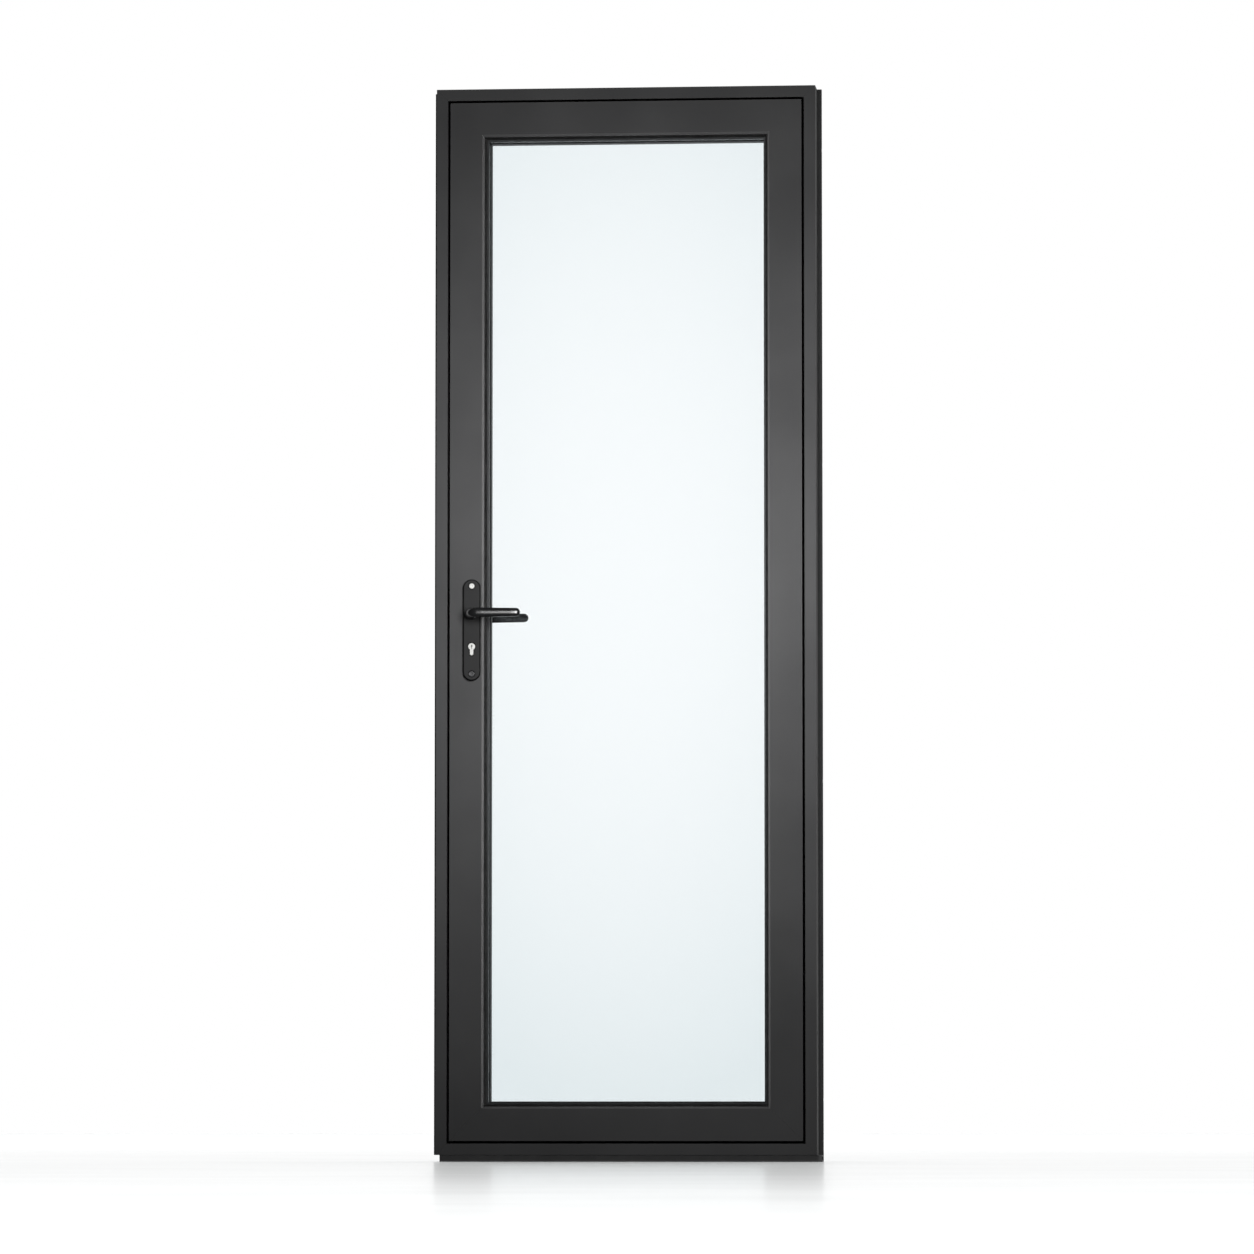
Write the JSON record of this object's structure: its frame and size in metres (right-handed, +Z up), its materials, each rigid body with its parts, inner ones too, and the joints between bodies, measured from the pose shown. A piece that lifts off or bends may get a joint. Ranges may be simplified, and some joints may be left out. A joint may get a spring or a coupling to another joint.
{
  "type": "glass door",
  "caption": "Single-leaf glazed door with dark flush frame, double-glazed leaf on rear barrel hinges, lever handles, latch and key lock.",
  "frame": {"origin": "on the floor, under the middle of the door's width and half-way through its depth", "axes": "+X to the right seen from the front, +Y to the rear (the side the leaf swings to), +Z up"},
  "size_m": [0.762, 0.1811, 2.1],
  "materials": {
    "coat": "satin anthracite powder coat",
    "handle_black": "smooth black lacquer",
    "plate_black": "satin black lacquer",
    "nickel": "satin nickel",
    "steel": "plain",
    "dark_steel": "darkened",
    "mill_aluminium": "mill",
    "spacer_grey": "dull",
    "glass": "clear",
    "rubber": "matt",
    "block_plastic": "matt"
  },
  "bodies": {
    "frame": {"frame_head": "coat", "frame_bottom_rail": "coat", "frame_lock_jamb": "coat", "frame_hinge_jamb": "coat", "frame_corner_cleats": "mill_aluminium", "frame_seal": "rubber", "sill_base": "coat", "side_strip_lock": "coat", "side_strip_hinge": "coat", "side_strip_screws": "steel", "strike_plate": "steel", "strike_screws": "steel", "hinge_top_frame_part": "coat", "hinge_mid_frame_part": "coat", "hinge_low_frame_part": "coat", "hinge_top_pin": "coat", "hinge_mid_pin": "coat", "hinge_low_pin": "coat", "hinge_frame_screws": "steel"},
    "leaf": {"leaf_top_rail": "coat", "leaf_bottom_rail": "coat", "leaf_lock_stile": "coat", "leaf_hinge_stile": "coat", "leaf_corner_cleats": "mill_aluminium", "outer_pane": "glass", "inner_pane": "glass", "spacer_bar": "spacer_grey", "edge_seal": "rubber", "setting_blocks": "block_plastic", "outer_gasket": "rubber", "inner_gasket": "rubber", "bead_top": "coat", "bead_bottom": "coat", "bead_lock_side": "coat", "bead_hinge_side": "coat", "lock_case": "steel", "lock_faceplate": "steel", "faceplate_screws": "steel", "cylinder_body": "nickel", "cylinder_screw": "steel", "front_plate": "plate_black", "rear_plate": "plate_black", "plate_screw_top": "nickel", "plate_screw_bottom": "dark_steel", "hinge_top_leaf_part": "coat", "hinge_mid_leaf_part": "coat", "hinge_low_leaf_part": "coat", "hinge_leaf_screws": "steel"},
    "levers": {"front_lever": "handle_black", "rear_lever": "handle_black", "lever_spindle": "steel", "lock_hub": "steel", "lever_grub_screws": "steel"},
    "latch": {"latch_bolt": "steel"},
    "deadbolt": {"dead_bolt": "steel"},
    "key_plug": {"key_plug_front": "nickel", "key_plug_rear": "nickel", "cylinder_cam": "steel"}
  },
  "joints": [
    {"name": "leaf_swing", "type": "hinge", "parent": "frame", "child": "leaf", "pos_m": [0.358, 0.046, 1.05], "axis": [0, 0, -1], "range_deg": [0, 110]},
    {"name": "lever_turn", "type": "hinge", "parent": "leaf", "child": "levers", "pos_m": [-0.301, 0, 1.067], "axis": [0, 1, 0], "range_deg": [0, 45], "stiffness_Nm_per_rad": 1.5, "springref_deg": -22.92},
    {"name": "latch_slide", "type": "slide", "parent": "leaf", "child": "latch", "axis": [1, 0, 0], "range_m": [0, 0.012]},
    {"name": "key_turn", "type": "hinge", "parent": "leaf", "child": "key_plug", "pos_m": [-0.301, 0, 1.003], "axis": [0, 1, 0], "range_deg": [0, 360]},
    {"name": "deadbolt_slide", "type": "slide", "parent": "leaf", "child": "deadbolt", "axis": [-1, 0, 0], "range_m": [0, 0.02]}
  ],
  "couplings": [
    {"joint": "latch_slide", "follows": "lever_turn", "m_per_rad": 0.01527},
    {"joint": "deadbolt_slide", "follows": "key_turn", "m_per_rad": 0.003183}
  ]
}
